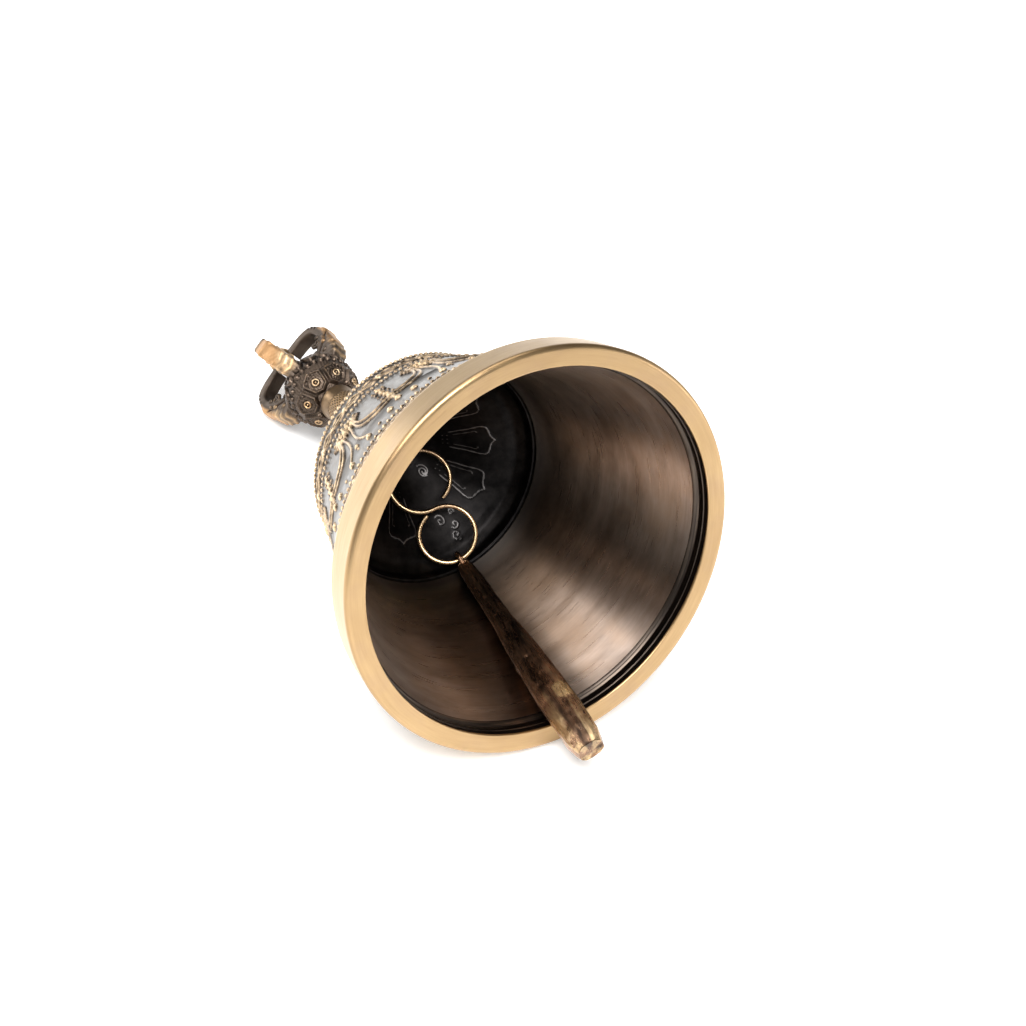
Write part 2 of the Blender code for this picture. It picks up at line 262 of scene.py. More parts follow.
class Finish:
    """A node material: the calls below add nodes and return sockets."""

    def __init__(self, name, **constants):
        self.material = bpy.data.materials.new(name)
        self.material.use_nodes = True
        self.tree = self.material.node_tree
        self.shader = self.tree.nodes["Principled BSDF"]
        self.shader.inputs["Metallic"].default_value = 1.0
        for socket, value in constants.items():
            self.shader.inputs[socket.replace("_", " ")].default_value = value

    def node(self, kind, **settings):
        made = self.tree.nodes.new(kind)
        for key, value in settings.items():
            setattr(made, key, value)
        return made

    def link(self, source, target):
        if isinstance(source, (int, float)):
            target.default_value = source
        else:
            self.tree.links.new(source, target)

    def math(self, operation, a, b=0.0):
        made = self.node("ShaderNodeMath", operation=operation)
        for value, socket in zip((a, b), made.inputs):
            self.link(value, socket)
        return made.outputs[0]

    def mark(self, name, output="Fac"):
        """A number or a vector kept with the mesh's points; own_place is the point in its piece's frame, in metres."""
        return self.node("ShaderNodeAttribute", attribute_name=name).outputs[output]

    def place(self):
        return self.mark("own_place", "Vector")

    def place_parts(self):
        parts = self.node("ShaderNodeSeparateXYZ")
        self.link(self.place(), parts.inputs[0])
        return parts.outputs

    def noise(self, scale, detail=3.0, roughness=0.6, vector=None):
        made = self.node("ShaderNodeTexNoise")
        made.inputs["Scale"].default_value = scale
        made.inputs["Detail"].default_value = detail
        made.inputs["Roughness"].default_value = roughness
        self.link(vector or self.place(), made.inputs["Vector"])
        return made.outputs["Fac"]

    def round_axis(self, turn_scale, run_scale):
        """Coordinates drawn out round the bell's axis, for turned and brushed marks."""
        x, y, z = self.place_parts()
        radius = self.math("SQRT", self.math("ADD", self.math("MULTIPLY", x, x), self.math("MULTIPLY", y, y)))
        out = self.node("ShaderNodeCombineXYZ")
        self.link(self.math("MULTIPLY", self.math("DIVIDE", x, radius), turn_scale), out.inputs[0])
        self.link(self.math("MULTIPLY", self.math("DIVIDE", y, radius), turn_scale), out.inputs[1])
        self.link(self.math("MULTIPLY", self.math("SUBTRACT", z, radius), run_scale), out.inputs[2])
        return out.outputs[0]

    def height_on_axis(self):
        return self.place_parts()[2]

    def between(self, value, low_end, high_end, low_out=0.0, high_out=1.0):
        made = self.node("ShaderNodeMapRange", clamp=True)
        for number, socket in zip((value, low_end, high_end, low_out, high_out), made.inputs):
            self.link(number, socket)
        return made.outputs[0]

    def mix(self, factor, a, b, blend="MIX"):
        made = self.node("ShaderNodeMix", data_type="RGBA", blend_type=blend)
        self.link(factor, made.inputs[0])
        for value, socket in ((a, made.inputs[6]), (b, made.inputs[7])):
            if isinstance(value, tuple):
                socket.default_value = (*value, 1.0)
            else:
                self.link(value, socket)
        return made.outputs[2]

    def done(self, colour, rough, grain, distance, strength):
        """The finished material, with fine bumps from the grain."""
        made = self.node("ShaderNodeBump")
        made.inputs["Strength"].default_value = strength
        made.inputs["Distance"].default_value = distance
        self.link(grain, made.inputs["Height"])
        for source, socket in ((colour, "Base Color"), (rough, "Roughness"), (made.outputs[0], "Normal")):
            self.link(source, self.shader.inputs[socket])
        return self.material

    def brushed_round(self):
        """Stretches the gloss across marks that run round the axis."""
        made = self.node("ShaderNodeVectorTransform", vector_type="VECTOR", convert_from="OBJECT", convert_to="WORLD")
        self.link(self.mark("round_axis", "Vector"), made.inputs[0])
        self.link(made.outputs[0], self.shader.inputs["Tangent"])


def lip_finish():
    f = Finish("lip_polished_bronze", Anisotropic=0.4, Anisotropic_Rotation=0.25)
    f.brushed_round()
    streaks = f.noise(1.0, 4.0, 0.6, f.round_axis(5.0, 2600.0))
    broad = f.noise(1.0, 3.0, 0.55, f.round_axis(2.2, 160.0))
    stains = f.noise(95.0, 4.0, 0.62)
    tone = f.mix(f.between(broad, 0.3, 0.7), (0.57, 0.42, 0.245), (0.49, 0.35, 0.20))
    tone = f.mix(f.between(stains, 0.50, 0.72, 0.0, 0.6), tone, (0.46, 0.33, 0.225))
    tone = f.mix(f.between(streaks, 0.35, 0.7, 0.0, 0.3), tone, (0.40, 0.27, 0.14))
    # painted reflection: the mouth's face is tinted darker to stand in for the dim surroundings it mirrors
    face = f.between(f.height_on_axis(), 0.0002, 0.0011, 1.0, 0.0)
    tone = f.mix(face, tone, f.mix(1.0, tone, (0.86, 0.80, 0.72), "MULTIPLY"))
    edge = f.math("MULTIPLY", face, f.between(f.height_on_axis(), 0.00008, 0.00045))
    tone = f.mix(edge, tone, (0.30, 0.19, 0.09))
    return f.done(tone, f.between(streaks, 0.3, 0.7, 0.28, 0.40), streaks, 0.00003, 0.35)


def inside_finish():
    f = Finish("inside_brushed_bronze", Anisotropic=0.93, Anisotropic_Rotation=0.25)
    f.brushed_round()
    fine = f.noise(1.0, 2.0, 0.5, f.round_axis(2.6, 2400.0))
    broad = f.noise(1.0, 4.0, 0.6, f.round_axis(2.0, 190.0))
    cloud = f.noise(60.0, 4.0, 0.6)
    z = f.height_on_axis()
    deep = f.between(z, 0.0305, 0.0385)
    tone = f.mix(f.between(broad, 0.32, 0.68), (0.215, 0.162, 0.127), (0.42, 0.338, 0.285))
    tone = f.mix(f.between(cloud, 0.46, 0.70, 0.0, 0.55), tone, (0.34, 0.225, 0.145))
    tone = f.mix(f.between(fine, 0.25, 0.75, 0.0, 0.24), tone, (0.14, 0.108, 0.088))
    # painted shade: the wall's colour is darkened towards the crown, deep in the cup where little light gets in
    deep_in_cup_shade = f.between(z, 0.007, 0.030)
    tone = f.mix(f.math("MULTIPLY", deep_in_cup_shade, 0.8), tone, f.mix(1.0, tone, (0.56, 0.50, 0.43), "MULTIPLY"))
    tone = f.mix(deep, tone, (0.055, 0.046, 0.040))
    rough = f.math("MAXIMUM", f.between(fine, 0.3, 0.7, 0.27, 0.33), f.math("MULTIPLY", deep, 0.48))
    return f.done(tone, rough, fine, 0.00001, 0.1)


def strip_finish():
    f = Finish("lip_inside_black", Roughness=0.3)
    grain = f.noise(1.0, 3.0, 0.6, f.round_axis(4.0, 1500.0))
    tone = f.mix(f.between(grain, 0.35, 0.7), (0.035, 0.028, 0.024), (0.09, 0.07, 0.055))
    f.link(tone, f.shader.inputs["Base Color"])
    return f.material


def crown_finish():
    f = Finish("crown_black_patina")
    grain = f.noise(420.0, 4.0, 0.6)
    tone = f.mix(f.between(grain, 0.35, 0.7), (0.007, 0.0065, 0.0065), (0.017, 0.0155, 0.015))
    tone = f.mix(f.between(f.mark("worn"), 0.45, 0.95, 0.0, 0.8), tone, (0.19, 0.18, 0.175))
    return f.done(tone, f.between(grain, 0.3, 0.7, 0.34, 0.46), grain, 0.00008, 0.4)


def relief_finish():
    """Silvery grey ground, black in the crevices, worn to pale gold on the high points."""
    f = Finish("relief_antique_bronze")
    grain = f.noise(700.0, 4.0, 0.65)
    cloud = f.noise(110.0, 3.0, 0.55)
    ground = f.mix(f.between(cloud, 0.35, 0.68), (0.125, 0.119, 0.113), (0.215, 0.205, 0.193))
    ground = f.mix(f.between(grain, 0.5, 0.75, 0.0, 0.5), ground, (0.26, 0.22, 0.18))
    tone = f.mix(f.between(f.mark("crevice"), 0.08, 0.75, 0.0, 0.96), ground, (0.035, 0.026, 0.02))
    brown = f.mix(f.between(f.mark("worn"), 0.04, 0.3), tone, (0.20, 0.135, 0.085))
    worn = f.mix(f.between(cloud, 0.35, 0.65), (0.80, 0.61, 0.39), (0.62, 0.44, 0.26))
    edge = f.math("ADD", f.mark("worn"), f.between(grain, 0.3, 0.7, -0.16, 0.16))
    tone = f.mix(f.between(edge, 0.20, 0.46), brown, worn)
    return f.done(tone, f.between(grain, 0.3, 0.7, 0.26, 0.42), grain, 0.00006, 0.5)


def handle_finish(name, dark, mid, worn, grain_scale=520.0, wear_at=(0.35, 0.75), rough=(0.30, 0.46)):
    """Cast bronze: dark in the hollows, brown on the flats and golden where hands have worn it."""
    f = Finish(name)
    grain = f.noise(grain_scale, 4.0, 0.65)
    cloud = f.noise(130.0, 3.0, 0.6)
    tone = f.mix(f.between(cloud, 0.35, 0.68), mid, tuple(0.62 * c for c in mid))
    tone = f.mix(f.between(f.mark("crevice"), 0.08, 0.7, 0.0, 0.95), tone, dark)
    edge = f.math("ADD", f.mark("worn"), f.between(grain, 0.3, 0.7, -0.2, 0.2))
    gold = f.mix(f.between(cloud, 0.4, 0.62), worn, (worn[0] * 0.82, worn[1] * 0.66, worn[2] * 0.52))
    tone = f.mix(f.between(edge, *wear_at), tone, gold)
    return f.done(tone, f.between(grain, 0.3, 0.7, *rough), grain, 0.00012, 0.5)


def brass_wire_finish():
    f = Finish("hook_brass_wire")
    stain = f.noise(110.0, 3.0, 0.6)
    drawn = f.noise(500.0, 2.0, 0.5)
    tone = f.mix(f.between(stain, 0.42, 0.62), (0.74, 0.54, 0.31), (0.34, 0.23, 0.14))
    return f.done(tone, f.between(drawn, 0.3, 0.7, 0.22, 0.36), drawn, 0.00002, 0.15)


def clapper_finish():
    f = Finish("clapper_rough_copper")
    along_bar = f.node("ShaderNodeMapping")
    along_bar.inputs["Scale"].default_value = (1.0, 1.0, 0.16)
    f.link(f.place(), along_bar.inputs["Vector"])
    grain = f.noise(900.0, 5.0, 0.7, along_bar.outputs[0])
    blotch = f.noise(330.0, 4.0, 0.6, along_bar.outputs[0])
    tone = f.mix(f.between(blotch, 0.36, 0.66), (0.060, 0.040, 0.030), (0.50, 0.29, 0.17))
    tone = f.mix(f.between(grain, 0.5, 0.72, 0.0, 0.75), tone, (0.035, 0.025, 0.020))
    edge = f.math("ADD", f.mark("worn"), f.between(grain, 0.3, 0.7, -0.28, 0.28))
    tone = f.mix(f.between(edge, 0.32, 0.90), tone, (0.95, 0.70, 0.38))
    return f.done(tone, f.between(grain, 0.3, 0.7, 0.20, 0.40), grain, 0.0005, 0.9)


LIP = lip_finish()
INSIDE = inside_finish()
STRIP = strip_finish()
CROWN = crown_finish()
RELIEF = relief_finish()
HUB = handle_finish("hub_dark_bronze", (0.010, 0.008, 0.007), (0.115, 0.084, 0.063), (0.60, 0.46, 0.30))
NECK = handle_finish("neck_golden_bronze", (0.02, 0.015, 0.010), (0.23, 0.155, 0.088), (0.46, 0.32, 0.175))
PRONG = handle_finish("prong_worn_bronze", (0.030, 0.017, 0.012), (0.105, 0.080, 0.062), (0.58, 0.42, 0.25),
                      wear_at=(0.38, 0.90), rough=(0.40, 0.56))
TIP = handle_finish("tip_worn_bronze", (0.04, 0.03, 0.02), (0.28, 0.2, 0.13), (0.82, 0.62, 0.36))
IRON = handle_finish("eye_dark_iron", (0.02, 0.018, 0.016), (0.075, 0.062, 0.052), (0.26, 0.2, 0.14))
BRASS = brass_wire_finish()
COPPER = clapper_finish()

# ---------------------------------------------------------------- bell cup

OUTSIDE = [(35.6, 9.0), (34.6, 10.8), (32.8, 13.8), (31.0, 17.8), (29.0, 22.8), (27.0, 28.0), (25.0, 33.4),
           (23.4, 38.2), (22.3, 41.8), (21.6, 44.6), (21.0, 47.0)]
LENS_BAND = (38.4, 47.4)
GARLANDS = (9.1, 38.4)
MASK_CENTRE = radians(-127.5)
MASKS = 8
SKIN = 0.3  # the relief lies this far above the plain shell

STEP, REACH = 0.05, 60  # the outside is smoothed over this many steps either way
(foot_r, foot_z), (top_r, top_z) = OUTSIDE[0], OUTSIDE[-1]
outside_z = np.arange(4.0, 52.0, STEP)
outside_r = np.interp(outside_z, [z for _, z in OUTSIDE], [r for r, _ in OUTSIDE])
outside_r = np.where(outside_z < foot_z, foot_r + (foot_z - outside_z) * 0.55,
                     np.where(outside_z > top_z, top_r - (outside_z - top_z) * 0.25, outside_r))
kernel = np.exp(-(np.arange(-REACH, REACH + 1) * STEP) ** 2 / 2)
outside_r = np.convolve(np.pad(outside_r, REACH, "edge"), kernel / kernel.sum(), "valid")


def outside_radius(z):
    return np.interp(z, outside_z, outside_r)


def skin_frame(z):
    """Radius and outward normal (r, z) of the outside at heights z."""
    slope = (outside_radius(z + 0.1) - outside_radius(z - 0.1)) / 0.2
    length = np.sqrt(1 + slope**2)
    return outside_radius(z), 1 / length, -slope / length


def pearl_row(angles, z, radius, at, count, size):
    pearls = bump(fold(angles, count) * radius, z, 0.0, at, size * 1.08, size * 1.12, size * 1.1)
    return np.maximum(pearls, 0.09 * np.exp(-(((z - at) / 0.62) ** 4)))


def lens_band(angles, z, radius, at, count, half_height):
    """Pairs of pointed ovals on either side of a ball, with a bead between one pair and the next."""
    u = np.abs(fold(angles, count)) * radius
    v = z - at
    full = (2 * pi / count) * radius / 2
    reach = full * 0.41
    oval = (np.abs(u - full * 0.5) / reach) ** 1.5 + (np.abs(v) / half_height) ** 1.5
    return highest(
        0.42 * np.exp(-(((oval - 1) / 0.26) ** 2)),
        np.where(oval < 0.75, 0.34 * np.exp(-((v / 0.30) ** 2)), 0),
        bump(u, v, 0.0, 0.0, 0.75, 0.9, 0.62),
        bump(u, v, full, 0.0, 0.55, 0.55, 0.5),
        *(bump(u, v, full, side * half_height * 0.95, 0.34, 0.34, 0.34) for side in (1, -1)),
    )


def garland_height(angles, z, radius):
    """Net of pearl cords that hangs between eight small guardian masks, with tassels and drops."""
    u = np.abs(fold(angles, MASKS, MASK_CENTRE)) * radius

    def across(degree, height):
        return radians(degree) * float(outside_radius(height))

    def run(*points):
        return smooth_curve([(across(*point), point[1]) for point in points], 0.5)

    cords = (
        run((6.0, 38.0), (6.6, 33.6), (9.4, 30.6), (14.0, 28.9), (19.0, 28.6), (22.5, 29.2)),
        run((5.0, 36.2), (5.6, 31.6), (8.2, 28.7), (12.6, 26.9), (18.0, 26.5), (22.5, 27.2)),
        run((3.0, 34.8), (2.0, 30.4), (2.4, 26.8), (4.2, 23.8), (5.6, 22.4)),
    )
    edge = radians(22.5) * outside_radius(z) - u  # distance from the tassel's line
    tassel = ((37.6, 0.55, 0.5), (36.3, 0.8, 0.62), (34.9, 0.5, 0.5), (33.7, 0.75, 0.62), (32.4, 0.45, 0.45),
              (31.2, 0.85, 0.7), (29.6, 0.6, 0.6), (28.2, 0.9, 0.75), (26.6, 0.5, 0.5), (25.4, 0.5, 0.5))
    tufts = ((36.9, 1.15), (35.5, 1.05), (33.2, 1.2), (30.6, 1.3), (28.9, 1.35))
    hanging = [(0.0, at, size, 0.62, tall) for at, size, tall in tassel]
    hanging += [(side, at, 0.42, 0.36, 0.42) for at, side in tufts]
    drops = ((5.6, 20.9, 0.78), (5.5, 22.2, 0.48), (17.0, 21.2, 0.78), (17.1, 22.6, 0.48), (22.5, 23.6, 0.8),
             (0.0, 24.4, 0.62), (0.0, 22.9, 0.42), (11.2, 20.6, 0.5))
    drops = [(across(degree, at), at, size, size, size * 0.92) for degree, at, size in drops]
    # brow, eyes, snout, cheeks, upper teeth and flame-shaped mane
    mask = ((0.0, 36.0, 0.75, 0.85, 0.85), (0.0, 35.0, 0.95, 0.55, 0.80), (1.05, 36.6, 0.52, 0.50, 0.78),
            (1.15, 37.5, 0.85, 0.30, 0.70), (2.1, 35.8, 0.72, 0.85, 0.60), (1.35, 34.8, 0.60, 0.50, 0.60),
            (0.42, 34.2, 0.22, 0.42, 0.45), (1.0, 34.1, 0.22, 0.48, 0.45), (0.0, 38.0, 0.42, 0.75, 0.70),
            (0.95, 38.3, 0.32, 0.62, 0.55), (1.9, 37.7, 0.34, 0.70, 0.55), (2.75, 36.8, 0.55, 0.34, 0.50),
            (3.3, 37.7, 0.55, 0.36, 0.46), (3.1, 35.2, 0.50, 0.34, 0.42))
    return highest(
        *(cord(u, z, line, 0.29, 0.44) for line in cords), bosses(edge, z, hanging),
        bosses(u, z, (*drops, *mask)), cord(u, z, spiral(3.5, 36.1, 0.75, 1.2, 0.4), 0.24, 0.40),
        # bands above the lip
        pearl_row(angles, z, radius, 16.6, 174, 0.48), lens_band(angles, z, radius, 13.5, 24, 1.35),
        pearl_row(angles, z, radius, 10.6, 190, 0.48),
    )


def relief_skin(name, z_from, z_to, columns, spacing, height_of):
    rows = int((z_to - z_from) / spacing) + 1
    z = np.linspace(z_from, z_to, rows)
    angles = around(columns)
    radius, normal_r, normal_z = (value[:, None] for value in skin_frame(z))
    grid_angles, grid_z = np.broadcast_arrays(angles[None, :], z[:, None])
    height = height_of(grid_angles, grid_z, np.broadcast_to(radius, grid_z.shape))
    points = turned_points(radius + height * normal_r, grid_z + height * normal_z, angles)
    back = turned_points(outside_radius(z[[-1, 0]]) - 0.7, z[[-1, 0]], angles)
    nothing = np.zeros((2, columns))
    new_piece(name, np.vstack((points, back)), [grid_faces(rows + 2, columns, close_rows=True)[:, ::-1]], (),
              [RELIEF], np.vstack((height, nothing)), np.vstack((crevices(height, 3), nothing)))


def shoulder_height(angles, z, radius):
    return highest(pearl_row(angles, z, radius, 46.5, 126, 0.48), lens_band(angles, z, radius, 43.3, 16, 1.25),
                   pearl_row(angles, z, radius, 40.3, 134, 0.42))


relief_skin("relief_shoulder_band", *LENS_BAND, 1000, 0.14, shoulder_height)
relief_skin("relief_garlands", *GARLANDS, 780, 0.25, garland_height)


def petal_runs(inner, shoulder, tip, half_inner, half_shoulder):
    """Half the outline of a pointed petal, from its foot to its tip: (distance from the axis, half width)."""
    return smooth_curve([(inner, half_inner), ((inner + shoulder) / 2, (half_inner + half_shoulder) / 2 + 0.15),
                         (shoulder - 0.5, half_shoulder), (shoulder + 0.35, half_shoulder - 0.35),
                         (tip - 0.75, 0.75), (tip, 0.0)], 0.4)


def dome_piece():
    """Top of the cup: lotus petals round the neck, double outlined, and a row of pearls."""
    outline = smooth_curve([(6.0, 59.25), (7.4, 58.5), (9.0, 57.3), (12.2, 54.75), (15.6, 52.1), (18.6, 49.5),
                            (20.3, 47.9), (21.1, 46.9)], 0.22)
    angles = around(480)
    rise_r, rise_z = (part[:, None] for part in headings(outline)[:, ::-1].T)
    radius, z = (part[:, None] for part in outline.T)
    phi = fold(angles, MASKS, MASK_CENTRE)[None, :]
    between = np.abs(fold(angles, MASKS, MASK_CENTRE + pi / MASKS))[None, :]
    out, side = radius * np.cos(phi), radius * np.sin(phi)
    scrolls = (spiral(12.6, 0.0, 1.5, 1.3, 0.3), spiral(10.6, 0.6, 0.8, 1.1, 2.2))
    h = highest(
        cord(out, np.abs(side), petal_runs(8.4, 15.6, 18.2, 2.3, 4.6), 0.34, 0.42),
        cord(out, np.abs(side), petal_runs(8.9, 14.6, 16.9, 1.7, 3.7), 0.26, 0.32),
        cord(radius * np.cos(between), radius * np.sin(between), petal_runs(14.0, 17.0, 18.8, 0.6, 1.4), 0.28, 0.36),
        *(cord(out, side, run, 0.26, 0.36) for run in scrolls),
        bump(fold(angles, 40)[None, :] * radius, radius, 0.0, 7.4, 0.50, 0.50, 0.48),
        bump(fold(angles, 96)[None, :] * radius, radius, 0.0, 19.7, 0.46, 0.46, 0.4),
    )
    points = turned_points(radius + h * rise_r, z + h * rise_z, angles)
    back = turned_points(np.array([19.6, 6.0]), np.array([46.0, 57.6]), angles)
    nothing = np.zeros((2, len(angles)))
    faces = grid_faces(len(outline) + 2, len(angles), close_rows=True)
    new_piece("relief_dome_petals", np.vstack((points, back)), [faces], (), [RELIEF],
              np.vstack((h, nothing)), np.vstack((crevices(h, 3), nothing)))


dome_piece()


def crown_relief(angles, radius):
    """Fine raised lines inside the crown: ten pointed petals round the middle, and plain scrolls."""
    petals = 10
    first = radians(56)
    phi = fold(angles, petals, first)[None, :]
    out, side = radius * np.cos(phi), radius * np.sin(phi)
    outer = smooth_curve([(9.3, 1.55), (12.0, 2.25), (13.9, 2.85), (14.9, 2.55), (15.55, 0.75), (16.2, 0.0)], 0.3)
    inner = smooth_curve([(9.9, 1.0), (12.0, 1.5), (13.2, 1.85), (13.45, 1.5)], 0.3)
    stem = [(16.2, 0.0), (16.8, 0.0)]
    lines = ((outer, 0.19, 0.24), (inner, 0.16, 0.20), (stem, 0.13, 0.14))
    beads = [(at, beside, 0.22, 0.22, 0.18) for at in (8.3, 9.0) for beside in (-0.8, 0.0, 0.8)]
    h = highest(*(cord(out, np.abs(side), *line) for line in lines), bosses(out, side, beads))
    bare = np.abs((angles - radians(20) + pi) % (2 * pi) - pi)[None, :] < radians(17.5)
    h = np.where(bare & (radius > 7.4), 0.0, h)
    x, y = radius * np.sin(angles)[None, :], radius * np.cos(angles)[None, :]
    scrolls = ((21.5, 17.6, 0.95, 1.2, 0.5), (24.5, 16.0, 0.8, -1.1, 2.5), (17.0, 14.4, 1.0, 1.2, 3.9),
               (28.0, 14.2, 0.6, -1.1, 0.0), (36.6, 7.1, 0.85, 1.4, 1.0), (36.6, 7.1, 1.25, 0.8, 4.0))
    return highest(h, *(cord(x, y, spiral(far * sin(radians(degree)), far * cos(radians(degree)), *curl), 0.17, 0.24)
                        for degree, far, *curl in scrolls))


def cup_shell():
    """The whole closed wall of the cup, plain where the relief skins cover it."""
    dome = smooth_curve([(2.05, 59.0), (6.4, 58.75), (9.0, 56.9), (12.2, 54.3), (15.6, 51.6), (18.6, 49.1),
                         (20.7, 46.7)], 1.2)
    under_z = np.arange(45.6, 9.6, -2.0)
    under = np.stack((outside_radius(under_z) - SKIN, under_z), -1)
    band = rounded_run([(35.4, 9.2), (36.3, 8.35), (37.0, 8.05), (37.35, 7.5), (37.9, 4.0), (38.42, 0.75),
                        (38.25, 0.25), (37.75, 0.0), (34.75, 0.0), (34.6, 0.12)], 0.3, 0.45)
    strip = rounded_run([(34.6, 0.12), (34.55, 1.5), (34.35, 1.6), (34.5, 1.75), (34.45, 3.0), (34.1, 3.3),
                         (33.9, 3.4)], 0.1, 0.3)
    wall = smooth_curve([(33.9, 3.4), (33.0, 6.0), (30.6, 12.0), (28.2, 18.5), (26.0, 24.8), (24.2, 30.6), (22.9, 35.8),
                         (22.1, 39.2)], 0.9)
    step = rounded_run([(22.1, 39.2), (21.75, 40.0), (21.45, 40.1), (21.1, 41.7), (19.7, 43.3), (18.2, 44.1)],
                       0.5, 0.35)
    crown = smooth_curve([(18.2, 44.1), (15.0, 46.3), (11.0, 49.7), (7.0, 53.0), (4.0, 55.1), (2.05, 56.0)], 0.24)
    finishes = [LIP, INSIDE, STRIP, RELIEF, CROWN]
    parts = [(dome, RELIEF), (under, RELIEF), (band, LIP), (strip[1:], STRIP), (wall[1:], INSIDE), (step[1:], CROWN),
             (crown[1:], CROWN)]
    outline = np.vstack([part for part, _ in parts])
    row_finish = np.concatenate([np.full(len(part), finishes.index(finish)) for part, finish in parts])
    angles = around(420)
    rise_r, rise_z = (part[:, None] for part in headings(outline)[:, ::-1].T)
    radius, z = (part[:, None] for part in outline.T)
    h = np.zeros((len(outline), len(angles)))
    start = len(outline) - len(crown) - 4
    h[start:] = crown_relief(angles, np.broadcast_to(radius[start:], h[start:].shape))
    h[-4:] = 0.0
    points = turned_points(radius + h * rise_r, z + h * rise_z, angles)
    faces = grid_faces(len(outline), len(angles), close_rows=True)
    new_piece("cup_shell", points, [faces], ("bell_cup",), finishes, h * 4, np.zeros_like(h),
              face_finish=np.repeat(row_finish, len(angles)))


cup_shell()

# ---------------------------------------------------------------- handle


def neck_piece():
    """Waisted neck: a petalled foot ringed with beads, and a hatched shaft."""
    outline = smooth_curve([(0.3, 59.65), (5.6, 59.65), (6.1, 60.3), (5.9, 61.2), (5.2, 62.4), (4.5, 64.2),
                            (4.0, 67.0), (3.75, 71.0), (3.6, 74.6), (3.55, 77.0), (3.65, 78.6), (3.7, 79.4),
                            (3.4, 79.85), (0.3, 79.88)], 0.24)
    angles = around(240)
    radius, z = (part[:, None] for part in outline.T)
    along_r, along_z = (part[:, None] for part in headings(outline).T)
    on_shaft = np.clip(np.minimum(z - 66.0, 77.0 - z) / 0.6, 0, 1)
    turn = angles[None, :]
    hatch = np.maximum(np.abs(np.sin(14 * turn + z * 2.6)), np.abs(np.sin(14 * turn - z * 2.6)))
    petal = [(1.2, 60.6), (1.0, 62.4), (0.5, 64.2), (0.0, 65.0)]
    h = highest(
        0.16 * on_shaft * np.clip((hatch - 0.45) / 0.5, 0, 1),
        cord(np.abs(fold(angles, 12))[None, :] * radius, z, petal, 0.26, 0.3),
        bump(fold(angles, 30)[None, :] * radius, z, 0.0, 60.9, 0.5, 0.5, 0.4),
    )
    h = np.where(radius > 3.5, h, 0.0)
    points = turned_points(radius + h * along_z, z - h * along_r, angles).reshape(-1, 3)
    ends = [[0.0, 0.0, 59.65], [0.0, 0.0, 79.88]]
    new_piece("neck_hatched", np.vstack((points, ends)), capped_faces(*h.shape), ("handle_neck",),
              [NECK], with_ends(h * 2.6 + 0.1), with_ends(crevices(h, 2)))


neck_piece()

HUB_CENTRE, HUB_RADIUS = 87.0, 7.2
HUB_PETALS = 7
HUB_FIRST = radians(-90)


def hub_piece():
    """Lotus ball: a ring of eyed petals with raised edges towards the cup, pointed petals and beads above."""
    columns, rows = 350, 150
    tilt = np.linspace(radians(-63), radians(54), rows)[:, None]  # latitude, negative towards the cup
    turn = around(columns)[None, :]
    # eyed petals, cells on the lower half
    phi = fold(turn, HUB_PETALS, HUB_FIRST)
    u = phi * HUB_RADIUS * np.cos(tilt)
    v = (tilt - radians(-38.5)) * HUB_RADIUS
    half = pi / HUB_PETALS * HUB_RADIUS * np.cos(tilt)
    to_side = half - np.abs(u)
    to_end = np.minimum(v + 3.0 - 0.55 * np.abs(u), 2.7 - v - 0.40 * np.abs(u))
    inside = np.minimum(to_side, to_end)
    lower = (tilt < radians(-10)) & (tilt > radians(-63))
    border = 0.50 * np.exp(-(((inside - 0.62) / 0.26) ** 2))
    plate = 0.26 * np.clip(inside / 0.3, 0, 1)
    eye_v = -0.35
    away = np.sqrt(u**2 + (v - eye_v) ** 2)
    bearing = np.arctan2(u, v - eye_v)
    fluting = np.where((np.abs(bearing) < radians(115)) & (away > 0.95) & (inside > 0.75),
                       0.20 * np.cos(bearing * 15) * np.clip((away - 0.95) / 0.3, 0, 1), 0)
    ring = 0.42 * np.exp(-(((away - 0.62) / 0.19) ** 2))
    ball = bump(u, v, 0.0, eye_v, 0.24, 0.24, 0.45)
    lens_edge = 0.30 * np.exp(-(((away - 1.65 + 0.35 * np.cos(bearing)) / 0.20) ** 2))
    cell = plate + np.maximum.reduce([border, fluting, ring + 0.1, ball, lens_edge])
    # beads round the equator and upright petals above it
    bead_u = fold(turn, 28) * HUB_RADIUS * np.cos(tilt)
    bead_v = (tilt - radians(-5)) * HUB_RADIUS
    up_u = np.abs(fold(turn, 14, HUB_FIRST)) * HUB_RADIUS * np.cos(tilt)
    up_v = (tilt - radians(22)) * HUB_RADIUS
    leaf = 1 - (up_u / 1.45) ** 2 - (up_v / 2.6) ** 2
    h = highest(
        np.where(lower & (inside > 0), cell, 0),
        bump(bead_u, bead_v, 0.0, 0.0, 0.58, 0.58, 0.62),
        np.where(leaf > 0, 0.25 + 0.5 * np.exp(-((leaf - 0.28) / 0.2) ** 2), 0),
        np.where(leaf > 0.3, 0.62 * np.exp(-((up_u / 0.28) ** 2)), 0),
    )
    h = h + 0.05 * np.sin(turn * 37 + tilt * 61) * np.sin(turn * 23 - tilt * 47)  # a slightly rough casting
    size = HUB_RADIUS - 0.35 + h
    radius, z = size * np.cos(tilt), HUB_CENTRE + size * np.sin(tilt)
    radius[0], z[0] = 3.1, 79.95
    points = turned_points(radius, z, turn[0]).reshape(-1, 3)
    ends = [[0.0, 0.0, 79.95], [0.0, 0.0, z[-1].mean()]]
    worn = np.clip((h - 0.46) * 1.15, 0, 1) + np.where(lower & (inside > 0), (ring + ball) * 1.6, 0)
    new_piece("hub_lotus", np.vstack((points, ends)), capped_faces(rows, columns), ("lotus_hub",),
              [HUB], with_ends(worn), with_ends(crevices(h, 3)))


hub_piece()


